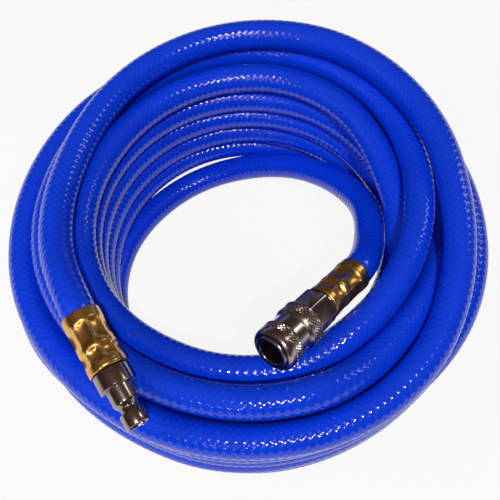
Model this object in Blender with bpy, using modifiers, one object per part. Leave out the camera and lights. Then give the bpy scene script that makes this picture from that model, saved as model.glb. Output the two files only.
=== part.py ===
"""Coiled air hose: a reinforced hose wound in three columns, with a plug crimped on its
outer end and a quick coupler crimped on its inner end. Metres, +Z up, standing on z = 0.

The origin is the middle of the whole part on the ground. Angles turn about +Z from +X, and the
hose is followed from the coupler, down into the coil and up to the plug.
"""
import math

import bmesh
import bpy
import numpy as np
from mathutils import Matrix, Vector

MM = 0.001
FIT = 0.3 * MM              # clearance between pieces that touch

# ---- hose and coil ---------------------------------------------------------------------
HOSE_DIAMETER = 15.0 * MM
HOSE_BORE = 10.8 * MM
TURN_GAP = 0.42 * MM        # air between neighbouring turns
COIL_RADIUS = 83.6 * MM     # to the middle of the hose, in the inner column
COIL_CENTRE = (1.84 * MM, -1.18 * MM, 0)    # from the middle of the whole part
POINTS_PER_TURN = 24
FLAT_SHARE = 0.1            # share of the diameter that is flat where the coil stands
FIRST_ANGLE = 30            # where the hose has reached the inside of the coil
LAST_ANGLE = 6360           # where it leaves the top of the coil for the plug

# ---- crimped ferrules ------------------------------------------------------------------
FERRULE_LENGTH = 27.0 * MM
FERRULE_WALL = 0.95 * MM
FERRULE_END_WALL = 1.2 * MM
CRIMP_DEPTH = 0.6 * MM
CRIMPS_AROUND = 8
TAIL_LENGTH = 24.0 * MM     # barbed tail inside the hose
TAIL_BORE = 6.4 * MM
BARB_HEIGHT = 0.7 * MM
BARB_COUNT = 5

# ---- quick coupler, measured from its mouth --------------------------------------------
SOCKET_BORE = 11.2 * MM
BODY_DIAMETER = 16.0 * MM
HEX_ACROSS_FLATS = 17.0 * MM
HEX_CORNERS = 19.2 * MM     # the hexagon's corners are turned off
HEX_START = 23.7 * MM
HEX_END = 35.4 * MM
SLEEVE_DIAMETER = 20.6 * MM
SLEEVE_WAIST = 18.8 * MM
SLEEVE_REAR = 21.2 * MM
SLEEVE_START = 2.6 * MM
SLEEVE_END = 23.4 * MM
SLEEVE_FRONT_BAND = 6.6 * MM
SLEEVE_REAR_BAND = 6.6 * MM
SLEEVE_TRAVEL = 3.5 * MM
BALL_DIAMETER = 3.2 * MM
BALL_COUNT = 6
BALL_PLACE = 9.0 * MM
BALL_STEP_OUT = 0.8 * MM    # how far each ball moves out when the sleeve is drawn back
VALVE_SEAT_PLACE = 17.0 * MM
VALVE_HOLE = 9.4 * MM
VALVE_TRAVEL = 4.0 * MM
SPRING_WIRE = 0.7 * MM

# ---- plug, measured from its nose ------------------------------------------------------
PLUG_HEAD = 10.3 * MM
PLUG_GROOVE = 7.8 * MM
PLUG_BODY = 10.9 * MM
PLUG_COLLAR = 15.4 * MM
PLUG_BORE = 6.4 * MM
PLUG_MOUTH = 8.1 * MM       # the nose is countersunk to a thin rim
PLUG_LENGTH = 25.0 * MM     # outside the ferrule
PLUG_GROOVE_START = 6.9 * MM
PLUG_GROOVE_END = 8.4 * MM
PLUG_SHANK_START = 10.0 * MM
PLUG_COLLAR_LENGTH = 7.6 * MM

# ---- how the fittings lie on the coil --------------------------------------------------
COUPLER_TILT = 19.4         # degrees, mouth up
COUPLER_GAP = 2.4 * MM      # between its sleeve and the inner column's turns
COUPLER_REACH = 7.0 * MM    # Y of the ferrule's open end
COUPLER_LEVEL = 5.32        # height of that end, in turns
PLUG_HEADING = -16.4
PLUG_DROP = 5.2
PLUG_COLUMN = 0.76
PLUG_ANGLE = 6386.0
PLUG_LEVEL = 6.94

HOSE_RADIUS = HOSE_DIAMETER / 2
PITCH = HOSE_DIAMETER + TURN_GAP
FLOOR_LEVEL = HOSE_RADIUS - FLAT_SHARE * HOSE_DIAMETER
COUPLER_SIDE = COIL_RADIUS - HOSE_RADIUS - SLEEVE_REAR / 2 - COUPLER_GAP    # its axis, from the coil's

# Hand-laid stretches of the hose: turn angle in degrees, column out from the inner one,
# and level up from the ground, both counted in turns.
LOOSE_TURN = [
    (30, -1.29, 4.36), (45, -1.24, 3.88), (60, -1.15, 3.25), (75, -1.12, 2.65), (90, -1.08, 2.10),
    (105, -1.03, 1.60), (120, -0.97, 1.10), (135, -0.86, 0.62), (150, -0.72, 0.24), (165, -0.62, 0.04),
    (185, -0.52, 0.00), (205, -0.30, 0.00), (225, -0.10, 0.00), (240, 0.00, 0.00),
]
TOP_TURNS = [
    (1785, -0.12, 4.04), (1800, -0.20, 4.20), (1815, -0.28, 4.35), (1830, -0.32, 4.47),
    (1860, -0.38, 4.65), (1890, -0.07, 5.00), (1920, 0.07, 5.10), (1950, -0.03, 5.10),
    (1995, -0.16, 5.10), (2025, -0.03, 5.05), (2055, 0.05, 5.02), (2085, -0.03, 5.04),
    (2115, 0.03, 5.06), (2130, 0.04, 5.10), (2145, -0.03, 5.40), (2175, -0.04, 5.54),
    (2205, 0.18, 5.43), (2220, 0.48, 5.20), (2235, 0.81, 5.04), (2250, 1.05, 5.02),
    (2280, 1.36, 5.00), (2310, 1.23, 5.00), (2355, 0.96, 5.03), (2385, 1.04, 5.06),
    (2400, 1.01, 5.24), (2415, 0.95, 5.47), (2430, 0.92, 5.63), (2460, 0.98, 5.70),
    (2490, 1.07, 5.66), (2505, 0.94, 5.15), (2520, 0.82, 4.90), (2535, 0.90, 4.75),
    (2550, 0.98, 4.58),
]
OUTER_END = [
    (5940, 2.08, 4.12), (5970, 1.94, 4.31), (6000, 1.92, 4.51), (6030, 1.83, 4.87),
    (6060, 1.89, 5.03), (6090, 1.97, 5.08), (6105, 1.95, 5.15), (6120, 1.80, 5.33),
    (6135, 1.51, 5.57), (6150, 1.24, 5.79), (6165, 1.10, 5.95), (6195, 1.27, 5.99),
    (6225, 1.38, 6.04), (6255, 1.19, 6.02), (6285, 0.82, 5.99), (6315, 0.41, 6.03),
    (6330, 0.30, 6.12), (6345, 0.33, 6.30), (6360, 0.45, 6.52),
]
MID_START, OUTWARD_START, OUTWARD_END = 2550, 4125, 4275    # turn angles of the three columns


def ease(start, end, x):
    """0 before start, 1 after end, and a smooth step between."""
    t = min(max((x - start) / (end - start), 0.0), 1.0)
    return t * t * (3 - 2 * t)


def through(keys, angle):
    """Column and level on a smooth curve through hand-laid keys."""
    i = max(1, min(len(keys) - 2, sum(k[0] <= angle for k in keys) - 1))
    i = min(i, len(keys) - 2) if angle < keys[-2][0] else len(keys) - 2
    if angle < keys[1][0]:
        i = 0
    (a0, *p0), (a1, *p1) = keys[i], keys[i + 1]
    before, after = keys[max(i - 1, 0)], keys[min(i + 2, len(keys) - 1)]
    t, span = (angle - a0) / (a1 - a0), a1 - a0
    out = []
    for k in (0, 1):
        slope0 = (p1[k] - before[k + 1]) / (a1 - before[0]) * span
        slope1 = (after[k + 1] - p0[k]) / (after[0] - a0) * span
        out.append(p0[k] * (2 * t**3 - 3 * t**2 + 1) + slope0 * (t**3 - 2 * t**2 + t)
                   + p1[k] * (3 * t**2 - 2 * t**3) + slope1 * (t**3 - t**2))
    return out


def wound_place(angle):
    """Column and level of the wound turns: up the inner column, down the middle, up the outer."""
    lap, along = divmod(angle + 45, 360)
    nested = ease(290, 330, along) + 1 - ease(15, 75, along)    # 1 where the columns nest together
    inner = (0.03 - 0.15 * nested, max(lap - 1 + ease(15, 150, along), 0))
    middle = (1.10 - 0.30 * nested,
              5 - (lap - 7) + 0.56 - 1.56 * ease(5, 115, along) + 0.56 * ease(265, 330, along))
    outer = (2.14 - 0.42 * nested, max(lap - 12 + ease(210, 345, along), 0))
    if angle < MID_START:
        return inner
    if angle < OUTWARD_START:
        return middle
    share = ease(OUTWARD_START, OUTWARD_END, angle)
    if share < 1:
        return (middle[0] * (1 - share) + outer[0] * share, 0)
    return outer


def station_place(angle):
    for keys in (LOOSE_TURN, TOP_TURNS, OUTER_END):
        if keys[0][0] <= angle <= keys[-1][0]:
            return through(keys, angle)
    return wound_place(angle)


def self_distances(points, skip=8):
    """Distance from each point to each stretch of the route that is not its own."""
    start, step = points[:-1], points[1:] - points[:-1]
    offset = points[:, None] - start[None]
    share = np.clip((offset * step[None]).sum(2) / (step**2).sum(1)[None], 0, 1)
    offset -= share[..., None] * step[None]
    distance = np.linalg.norm(offset, axis=2)
    index = np.arange(len(points))
    near = np.abs(index[:, None] - index[None, :-1] - 0.5) < skip
    distance[near] = 1.0
    return distance, offset, share


def settle(points, spacing, rounds=320):
    """Turns that lie too near push each other apart, as a wound hose does, and rest on the ground."""
    laid = points.copy()
    for k in range(rounds):
        distance, offset, share = self_distances(points)
        i, j = np.nonzero(distance < spacing)
        move = offset[i, j] * ((spacing / distance[i, j] - 1) * 0.3)[:, None]
        part = share[i, j][:, None]
        push = np.zeros_like(points)
        np.add.at(push, i, move)
        np.add.at(push, j, -move * (1 - part))
        np.add.at(push, j + 1, -move * part)
        shift = points + push - laid
        shift[:3] = shift[-3:] = 0
        stiff = 0.12 if k < rounds - 90 else 0.02
        shift[1:-1] += stiff * (shift[:-2] + shift[2:] - 2 * shift[1:-1])
        points = laid + shift
        points[:, 2] = np.maximum(points[:, 2], FLOOR_LEVEL)
    return points


def coupler_frame():
    """Frame of the coupler: origin in its mouth, +Z along its axis towards the hose."""
    tilt = math.radians(COUPLER_TILT)
    axis = Vector((0, math.cos(tilt), -math.sin(tilt)))
    end = Vector((COUPLER_SIDE, COUPLER_REACH, FLOOR_LEVEL + COUPLER_LEVEL * PITCH))
    return frame_at(end - axis * COUPLER_LENGTH + Vector(COIL_CENTRE), axis)


def plug_frame():
    """Frame of the plug: origin in its nose, +Z along its axis towards the hose."""
    heading, drop = math.radians(PLUG_HEADING), math.radians(PLUG_DROP)
    axis = -Vector((math.cos(heading) * math.cos(drop), math.sin(heading) * math.cos(drop), -math.sin(drop)))
    turn, radius = math.radians(PLUG_ANGLE), COIL_RADIUS + PLUG_COLUMN * PITCH
    end = Vector((radius * math.cos(turn), radius * math.sin(turn), FLOOR_LEVEL + PLUG_LEVEL * PITCH))
    return frame_at(end - axis * (PLUG_LENGTH + FERRULE_LENGTH) + Vector(COIL_CENTRE), axis)


def frame_at(origin, axis):
    side = Vector((0, 0, 1)).cross(axis).normalized()
    frame = Matrix((side, axis.cross(side), axis)).transposed().to_4x4()
    frame.translation = origin
    return frame


# places along the coupler that its pieces share
FERRULE_RADIUS = HOSE_RADIUS + FIT + FERRULE_WALL
TAIL_COLLAR = 1.0 * MM
COUPLER_FRONT = HEX_END + FIT + TAIL_COLLAR + FIT      # where the ferrule begins
COUPLER_LENGTH = COUPLER_FRONT + FERRULE_LENGTH
HOSE_INSET = FERRULE_END_WALL + FIT                             # hose end inside the ferrule


def hose_route():
    """Points along the middle of the hose, from inside one ferrule to inside the other."""
    coupler, plug = coupler_frame(), plug_frame()
    step = 360 / POINTS_PER_TURN
    count = round((LAST_ANGLE - FIRST_ANGLE) / step) + 1
    points = []
    for k in range(count):
        angle = FIRST_ANGLE + k * step
        column, level = station_place(angle)
        radius, turn = COIL_RADIUS + column * PITCH, math.radians(angle)
        points.append((radius * math.cos(turn), radius * math.sin(turn), FLOOR_LEVEL + level * PITCH))
    coil = settle(np.array(points), PITCH + 0.05 * MM) + np.array(COIL_CENTRE)
    inside = (COUPLER_FRONT + HOSE_INSET, COUPLER_LENGTH + 3 * MM)
    start = [coupler @ Vector((0, 0, z)) for z in inside]
    inside = (PLUG_LENGTH + FERRULE_LENGTH + 3 * MM, PLUG_LENGTH + FIT + HOSE_INSET)
    end = [plug @ Vector((0, 0, z)) for z in inside]
    return np.vstack([np.array(start), coil, np.array(end)])


# ---- modelling helpers -----------------------------------------------------------------
def material(name, colour, roughness, metallic=0.0):
    made = bpy.data.materials.new(name)
    made.use_nodes = True
    shader = made.node_tree.nodes["Principled BSDF"]
    shader.inputs["Base Color"].default_value = (*colour, 1)
    shader.inputs["Roughness"].default_value = roughness
    shader.inputs["Metallic"].default_value = metallic
    return made


def add_object(name, mesh, finish, frame=None, parent=None):
    piece = bpy.data.objects.new(name, mesh)
    if finish:
        mesh.materials.append(finish)
    PARTS.objects.link(piece)
    piece.parent = parent
    if frame is not None:
        piece.matrix_local = frame
    return piece


def turned(name, profile, finish, parent, steps=32):
    """A turned piece: an outline of (radius, place) points round the parent's +Z, outer side first."""
    mesh = bpy.data.meshes.new(name)
    points = [(r, 0, z) for r, z in profile]
    edges = [(k, k + 1) for k in range(len(points) - 1)]
    if profile[0][0] > 0:
        edges.append((len(points) - 1, 0))
    mesh.from_pydata(points, edges, [])
    piece = add_object(name, mesh, finish, parent=parent)
    screw = piece.modifiers.new("turned", "SCREW")
    screw.steps = screw.render_steps = steps
    screw.use_merge_vertices = True
    screw.merge_threshold = 0.00001
    return piece


def evaluated_mesh(piece):
    """The piece's mesh with its modifiers applied."""
    graph = bpy.context.evaluated_depsgraph_get()
    return bpy.data.meshes.new_from_object(piece.evaluated_get(graph))


def apply_modifiers(piece):
    mesh = evaluated_mesh(piece)
    piece.modifiers.clear()
    piece.data = mesh
    return mesh


def cutter(name, radius, depth, frame, vertices=24):
    """A round cutter along its frame's +Z."""
    mesh = bpy.data.meshes.new(name)
    shape = bmesh.new()
    bmesh.ops.create_cone(shape, cap_ends=True, segments=vertices, radius1=radius, radius2=radius,
                          depth=depth, matrix=Matrix.Translation((0, 0, depth / 2)))
    shape.to_mesh(mesh)
    shape.free()
    made = bpy.data.objects.new(name, mesh)
    CUTTERS.objects.link(made)
    made.matrix_world = frame
    made.hide_render = True
    made.display_type = "WIRE"
    return made


def cut(piece, tool):
    boolean = piece.modifiers.new("cut", "BOOLEAN")
    boolean.operation = "DIFFERENCE"
    boolean.object = tool


def wire_object(name, points, radius, sides, finish, parent=None):
    """A closed tube mesh along a polyline of points."""
    curve = bpy.data.curves.new(name, "CURVE")
    curve.dimensions = "3D"
    curve.bevel_depth = radius
    curve.bevel_resolution = sides // 2 - 2
    curve.use_fill_caps = True
    spline = curve.splines.new("POLY")
    spline.points.add(len(points) - 1)
    for target, point in zip(spline.points, points):
        target.co = (*point, 1)
    guide = bpy.data.objects.new(name + "_guide", curve)
    PARTS.objects.link(guide)
    bpy.context.view_layer.update()
    mesh = evaluated_mesh(guide)
    bpy.data.objects.remove(guide)
    shape = bmesh.new()
    shape.from_mesh(mesh)
    bmesh.ops.remove_doubles(shape, verts=shape.verts, dist=0.00001)
    bmesh.ops.recalc_face_normals(shape, faces=shape.faces)
    shape.to_mesh(mesh)
    shape.free()
    mesh.name = name
    return add_object(name, mesh, finish, parent=parent)


def spring(name, radius, start, end, turns, per_turn, parent):
    """A compression spring round the parent's +Z, with its last half turn at each end laid flat."""
    points = []
    for k in range(turns * per_turn + 1):
        turn = 2 * math.pi * k / per_turn
        rise = ease(0, 1, k / (turns * per_turn))
        share = 0.6 * k / (turns * per_turn) + 0.4 * rise
        points.append((radius * math.cos(turn), radius * math.sin(turn), start + share * (end - start)))
    return wire_object(name, points, SPRING_WIRE / 2, 6, STEEL, parent)


# ---- the pieces ------------------------------------------------------------------------
def make_hose(route, coupler, plug):
    hose = wire_object("hose", route, HOSE_RADIUS, 6, BLUE_HOSE)
    depth = TAIL_LENGTH + 2 * MM
    front = coupler @ Matrix.Translation((0, 0, COUPLER_FRONT))
    back = plug @ Matrix.Translation((0, 0, PLUG_LENGTH + FIT))
    cut(hose, cutter("coupler_end_bore", HOSE_BORE / 2, depth, front, 16))
    cut(hose, cutter("plug_end_bore", HOSE_BORE / 2, depth, back, 16))
    reach = 2 * (COIL_RADIUS + 4 * PITCH)
    ground = bpy.data.meshes.new("ground_cut")
    shape = bmesh.new()
    bmesh.ops.create_cube(shape, size=1, matrix=Matrix.Translation((0, 0, -HOSE_RADIUS))
                          @ Matrix.Diagonal((reach, reach, 2 * HOSE_RADIUS, 1)))
    shape.to_mesh(ground)
    shape.free()
    tool = bpy.data.objects.new("ground_cut", ground)
    CUTTERS.objects.link(tool)
    tool.hide_render = True
    tool.display_type = "WIRE"
    cut(hose, tool)
    return hose


def make_ferrule(name, front, parent):
    """A brass ferrule, closed round the tail at its front, with two rows of crimps."""
    inner, outer = HOSE_RADIUS + FIT, FERRULE_RADIUS
    hole = HOSE_BORE / 2
    rows = [(0.17, 0.36), (0.46, 0.80)]     # shares of the length that the crimps take
    places = [0.0, 0.02, 0.07, 0.11, 0.17, 0.22, 0.265, 0.31, 0.36, 0.41, 0.46, 0.53, 0.60, 0.67, 0.74,
              0.80, 0.88, 0.96, 1.0]
    swell = {0.0: -0.45, 0.02: 0.0, 0.07: 0.1, 0.11: -0.15, 0.41: -0.05, 0.96: -0.1, 1.0: -0.5}
    profile = [(outer + swell.get(p, 0) * MM, front + p * FERRULE_LENGTH) for p in reversed(places)]
    profile += [(hole, front), (hole, front + FERRULE_END_WALL), (inner, front + FERRULE_END_WALL),
                (inner, front + FERRULE_LENGTH)]
    ferrule = turned(name, profile, BRASS, parent, steps=4 * CRIMPS_AROUND)
    mesh = apply_modifiers(ferrule)
    for vertex in mesh.vertices:
        radius = math.hypot(vertex.co.x, vertex.co.y)
        if radius < outer - 0.5 * FERRULE_WALL:
            continue
        share = (vertex.co.z - front) / FERRULE_LENGTH
        around = 0.5 + 0.5 * math.cos(CRIMPS_AROUND * math.atan2(vertex.co.y, vertex.co.x))
        depth = 0.0
        for start, end in rows:
            depth = max(depth, math.sin(math.pi * min(max((share - start) / (end - start), 0), 1)))
        scale = 1 - CRIMP_DEPTH * min(1, 1.4 * depth) * around / radius
        vertex.co.x *= scale
        vertex.co.y *= scale
    return ferrule


def barbed_tail(start):
    """Outline of a barbed tail from its tip back to its root, outer side, top to bottom."""
    crest = HOSE_BORE / 2 - FIT
    root = crest - BARB_HEIGHT
    pitch = TAIL_LENGTH / (BARB_COUNT + 0.5)
    outline = []
    for k in reversed(range(BARB_COUNT)):
        place = start + (k + 1) * pitch
        outline += [(root, place + 0.9 * pitch), (crest, place + 0.1 * pitch), (root, place)]
    outline.append((root, start))
    return [(root, start + TAIL_LENGTH)] + outline


def make_plug(parent):
    start = PLUG_LENGTH
    head, groove, body, collar = PLUG_HEAD / 2, PLUG_GROOVE / 2, PLUG_BODY / 2, PLUG_COLLAR / 2
    bore, tail_bore = PLUG_BORE / 2, TAIL_BORE / 2
    neck = start - PLUG_COLLAR_LENGTH - 0.5 * MM
    outline = barbed_tail(start)
    outline += [(collar - 0.4 * MM, start), (collar, start - 0.4 * MM), (collar, neck + 0.5 * MM),
                (collar - 0.5 * MM, neck), (body, neck), (body, PLUG_SHANK_START),
                (body - 0.3 * MM, PLUG_SHANK_START - 0.4 * MM), (groove, PLUG_GROOVE_END),
                (groove, PLUG_GROOVE_START), (head, PLUG_GROOVE_START - 1.1 * MM),
                (head, 1.2 * MM), (head - 0.5 * MM, 0.2 * MM), (head - 0.6 * MM, 0), (PLUG_MOUTH / 2, 0),
                (bore, 2.2 * MM), (bore, start - 6 * MM), (tail_bore, start - 5 * MM),
                (tail_bore, start + TAIL_LENGTH)]
    return turned("plug_body", outline, STEEL, parent, steps=32)


def make_coupler_body(parent):
    """The coupler's housing: nose, ball holes, seal groove, valve seat, rear thread bore and hexagon."""
    body, bore, seat = BODY_DIAMETER / 2, SOCKET_BORE / 2, VALVE_SEAT_PLACE
    corner, land = HEX_CORNERS / 2, HEX_ACROSS_FLATS / 2 + 0.4 * MM
    outline = [(land, HEX_END), (corner, HEX_END - 0.7 * MM), (corner, HEX_START + 0.4 * MM),
               (land, HEX_START), (body, HEX_START), (body, RING_END), (RING_GROOVE, RING_END),
               (RING_GROOVE, RING_START), (body, RING_START), (body, 0.9 * MM),
               (body - 0.3 * MM, 0.3 * MM), (body - 0.8 * MM, 0), (bore + 1.0 * MM, 0), (bore, 1.0 * MM),
               (bore, SEAL_PLACE), (SEAL_GROOVE, SEAL_PLACE), (SEAL_GROOVE, SEAL_PLACE + SEAL_WIDTH),
               (bore, SEAL_PLACE + SEAL_WIDTH), (bore, seat), (VALVE_HOLE / 2, seat),
               (VALVE_HOLE / 2, seat + SEAT_WALL), (CHAMBER, seat + SEAT_WALL), (CHAMBER, THREAD_START),
               (THREAD_BORE, THREAD_START), (THREAD_BORE, HEX_END)]
    housing = turned("coupler_body", outline, STEEL, parent, steps=36)
    for k in range(BALL_COUNT):
        hole = parent.matrix_world @ ball_frame(k, 0.0)
        cut(housing, cutter(f"ball_hole_{k + 1}", BALL_DIAMETER / 2 + 0.2 * MM, body + 1 * MM, hole, 16))
    cut(housing, hexagon_cutter(parent.matrix_world, HEX_START, HEX_END + 0.4 * MM))
    return housing


def hexagon_cutter(frame, start, end):
    """A ring with a hexagonal hole, which leaves the flats of a hexagon on a turned blank."""
    across = HEX_ACROSS_FLATS / 2 / math.cos(math.pi / 6)
    mesh = bpy.data.meshes.new("hexagon_cut")
    shape = bmesh.new()
    rings = []
    for place in (start, end):
        for radius in (across, 1.6 * across):
            rings.append([shape.verts.new((radius * math.cos(math.pi * k / 3),
                                           radius * math.sin(math.pi * k / 3), place)) for k in range(6)])
    inner_low, outer_low, inner_high, outer_high = rings
    for a, b in ((outer_low, inner_low), (inner_low, inner_high), (inner_high, outer_high),
                 (outer_high, outer_low)):
        for k in range(6):
            shape.faces.new((a[k], b[k], b[k - 5], a[k - 5]))
    bmesh.ops.recalc_face_normals(shape, faces=shape.faces)
    shape.to_mesh(mesh)
    shape.free()
    tool = bpy.data.objects.new("hexagon_cut", mesh)
    CUTTERS.objects.link(tool)
    tool.matrix_world = frame
    tool.hide_render = True
    tool.display_type = "WIRE"
    return tool


def ball_frame(k, radius):
    """Frame on ball k's line, at a radius from the coupler's axis, +Z outwards."""
    turn = Matrix.Rotation(2 * math.pi * k / BALL_COUNT, 4, "Z")
    return turn @ Matrix.Translation((radius, 0, BALL_PLACE)) @ Matrix.Rotation(math.pi / 2, 4, "Y")


def make_balls(parent):
    rest = SOCKET_BORE / 2 - BALL_STEP_OUT + BALL_DIAMETER / 2
    for k in range(BALL_COUNT):
        mesh = bpy.data.meshes.new(f"locking_ball_{k + 1}")
        shape = bmesh.new()
        bmesh.ops.create_uvsphere(shape, u_segments=12, v_segments=8, radius=BALL_DIAMETER / 2)
        shape.to_mesh(mesh)
        shape.free()
        add_object(mesh.name, mesh, STEEL, ball_frame(k, rest), parent)


def make_sleeve(parent):
    """The knurled sleeve that is drawn back to free the plug."""
    front, rear = SLEEVE_START, SLEEVE_END
    collar, waist, back = SLEEVE_DIAMETER / 2, SLEEVE_WAIST / 2, SLEEVE_REAR / 2
    lip = BODY_DIAMETER / 2 + 0.25 * MM
    recess = lip + BALL_STEP_OUT
    ramp = BALL_PLACE - BALL_DIAMETER / 2 - 0.5 * MM
    released = ramp + FIT - SLEEVE_TRAVEL       # the recess is over the balls when drawn back
    chamber = HEX_CORNERS / 2 + FIT
    outline = [(back - 0.3 * MM, rear), (back, rear - 0.4 * MM), (back, rear - SLEEVE_REAR_BAND + 1.0 * MM),
               (back - 0.4 * MM, rear - SLEEVE_REAR_BAND), (waist, rear - SLEEVE_REAR_BAND - 1.4 * MM),
               (waist, front + SLEEVE_FRONT_BAND + 1.2 * MM), (collar, front + SLEEVE_FRONT_BAND),
               (collar, front + 2.2 * MM), (collar - 0.3 * MM, front + 0.9 * MM),
               (collar - 0.8 * MM, front), (RING_OUTER + FIT, front), (RING_OUTER + FIT, RING_END + FIT),
               (lip, RING_END + FIT), (lip, released), (recess, released),
               (recess, ramp), (lip + 0.45 * MM, ramp), (lip, ramp + 1.3 * MM), (lip, SPRING_SEAT),
               (chamber, SPRING_SEAT), (chamber, rear)]
    return turned("coupler_sleeve", outline, STEEL, parent, steps=40)


def make_tail(parent):
    """The tail that screws into the housing, with a collar and a barbed end for the hose."""
    spigot, collar, seat = THREAD_BORE - FIT, HEX_ACROSS_FLATS / 2 - 0.6 * MM, HEX_END + FIT
    outline = barbed_tail(COUPLER_FRONT)
    outline += [(collar, COUPLER_FRONT - FIT), (collar, seat), (spigot, seat), (spigot, SPIGOT_START),
                (SPRING_BORE, SPIGOT_START), (SPRING_BORE, SPRING_FLOOR), (TAIL_BORE / 2, SPRING_FLOOR),
                (TAIL_BORE / 2, COUPLER_FRONT + TAIL_LENGTH)]
    return turned("coupler_tail", outline, STEEL, parent, steps=32)


def make_valve(parent):
    """The poppet that the plug's nose pushes open, and the seal that it carries."""
    hub, stem, disc = VALVE_HOLE / 2 - 0.4 * MM, 1.8 * MM, CHAMBER - 0.5 * MM
    outline = [(0, DISC_PLACE + 8.4 * MM), (stem, DISC_PLACE + 8.4 * MM), (stem, DISC_PLACE + DISC_WALL),
               (disc, DISC_PLACE + DISC_WALL), (disc, DISC_PLACE), (hub, DISC_PLACE),
               (hub, HUB_FRONT + 0.15 * MM), (hub - 0.15 * MM, HUB_FRONT), (0, HUB_FRONT)]
    turned("valve_poppet", outline, BRASS, parent, steps=32)
    start, end = VALVE_SEAT_PLACE + SEAT_WALL + FIT, DISC_PLACE - FIT
    ring("valve_seal", hub + FIT, CHAMBER - 0.7 * MM, start, end, RUBBER, parent)


def ring(name, inner, outer, start, end, finish, parent):
    """A ring of nearly square section, its corners taken off."""
    soft = 0.2 * min(outer - inner, end - start)
    outline = [(outer - soft, end), (outer, end - soft), (outer, start + soft), (outer - soft, start),
               (inner + soft, start), (inner, start + soft), (inner, end - soft), (inner + soft, end)]
    return turned(name, outline, finish, parent, steps=24)


# places inside the coupler that its pieces share
RING_START, RING_END = 1.2 * MM, 2.3 * MM
RING_GROOVE = BODY_DIAMETER / 2 - 0.7 * MM
RING_OUTER = BODY_DIAMETER / 2 + 0.6 * MM
SEAL_PLACE, SEAL_WIDTH = 12.2 * MM, 1.4 * MM
SEAL_GROOVE = SOCKET_BORE / 2 + 0.9 * MM
SEAT_WALL = 1.0 * MM
CHAMBER = 6.1 * MM
DISC_PLACE, DISC_WALL = VALVE_SEAT_PLACE + SEAT_WALL + 1.6 * MM, 1.4 * MM
HUB_FRONT = BALL_PLACE + 3.8 * MM
THREAD_START, THREAD_BORE = DISC_PLACE + DISC_WALL + VALVE_TRAVEL + 0.3 * MM, 6.9 * MM
SPIGOT_START = THREAD_START + 1.6 * MM
SPRING_BORE, SPRING_FLOOR = 5.2 * MM, 33.0 * MM
SPRING_SEAT = 17.2 * MM
VALVE_SPRING_RADIUS = 4.5 * MM
SLEEVE_SPRING_RADIUS = 8.6 * MM

for thing in list(bpy.data.objects):
    bpy.data.objects.remove(thing)
PARTS = bpy.data.collections.new("coiled_air_hose")
CUTTERS = bpy.data.collections.new("cutters")
bpy.context.scene.collection.children.link(PARTS)
bpy.context.scene.collection.children.link(CUTTERS)

BLUE_HOSE = material("blue_hose", (0.01, 0.06, 0.72), 0.3)
BRASS = material("brass", (0.62, 0.40, 0.14), 0.3, 1.0)
STEEL = material("nickel_plate", (0.42, 0.38, 0.36), 0.22, 1.0)
RUBBER = material("black_rubber", (0.02, 0.02, 0.02), 0.6)


def empty(name, frame):
    made = bpy.data.objects.new(name, None)
    PARTS.objects.link(made)
    made.matrix_world = frame
    return made


coupler_axis = empty("coupler_axis", coupler_frame())
plug_axis = empty("plug_axis", plug_frame())
bpy.context.view_layer.update()

route = hose_route()
make_hose(route, coupler_axis.matrix_world, plug_axis.matrix_world)
make_ferrule("plug_ferrule", PLUG_LENGTH + FIT, plug_axis)
make_plug(plug_axis)
make_ferrule("coupler_ferrule", COUPLER_FRONT, coupler_axis)
make_tail(coupler_axis)
make_coupler_body(coupler_axis)
make_balls(coupler_axis)
make_sleeve(coupler_axis)
make_valve(coupler_axis)
ring("sleeve_retaining_ring", RING_GROOVE + 0.1 * MM, RING_OUTER, RING_START + 0.15 * MM,
     RING_END - 0.15 * MM, STEEL, coupler_axis)
ring("socket_seal", SOCKET_BORE / 2 - 0.25 * MM, SEAL_GROOVE - 0.2 * MM, SEAL_PLACE + 0.2 * MM,
     SEAL_PLACE + SEAL_WIDTH - 0.2 * MM, RUBBER, coupler_axis)
ring("tail_seal", SPRING_BORE + 0.1 * MM, THREAD_BORE - FIT, THREAD_START + 0.2 * MM,
     SPIGOT_START - 0.2 * MM, RUBBER, coupler_axis)
spring("sleeve_spring", SLEEVE_SPRING_RADIUS, SPRING_SEAT + 0.1 * MM + SPRING_WIRE / 2,
       HEX_START - 0.1 * MM - SPRING_WIRE / 2, 3, 16, coupler_axis)
spring("valve_spring", VALVE_SPRING_RADIUS, DISC_PLACE + DISC_WALL + 0.1 * MM + SPRING_WIRE / 2,
       SPRING_FLOOR - 0.1 * MM - SPRING_WIRE / 2, 6, 10, coupler_axis)

distance, _, _ = self_distances(route)
length = np.linalg.norm(route[1:] - route[:-1], axis=1).sum()
print(f"hose length {length:.3f} m in {len(route)} points")
print(f"least gap of the hose to itself {(distance.min() - HOSE_DIAMETER) * 1000:.2f} mm")
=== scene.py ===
import math

import bmesh
import bpy
import numpy as np
from mathutils import Matrix, Vector


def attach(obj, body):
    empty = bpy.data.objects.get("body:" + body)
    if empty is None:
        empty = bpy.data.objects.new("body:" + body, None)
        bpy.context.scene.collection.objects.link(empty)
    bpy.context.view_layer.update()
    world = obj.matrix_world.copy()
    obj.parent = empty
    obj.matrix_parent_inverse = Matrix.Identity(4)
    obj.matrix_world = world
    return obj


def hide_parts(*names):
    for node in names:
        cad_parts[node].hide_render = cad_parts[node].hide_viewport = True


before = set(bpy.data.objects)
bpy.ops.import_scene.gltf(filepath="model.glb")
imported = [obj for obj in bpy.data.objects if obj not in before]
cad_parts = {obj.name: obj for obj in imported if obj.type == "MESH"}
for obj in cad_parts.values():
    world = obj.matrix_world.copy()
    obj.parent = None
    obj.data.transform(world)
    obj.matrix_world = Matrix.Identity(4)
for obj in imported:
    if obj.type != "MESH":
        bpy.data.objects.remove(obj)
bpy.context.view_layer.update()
MM = 0.001

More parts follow.
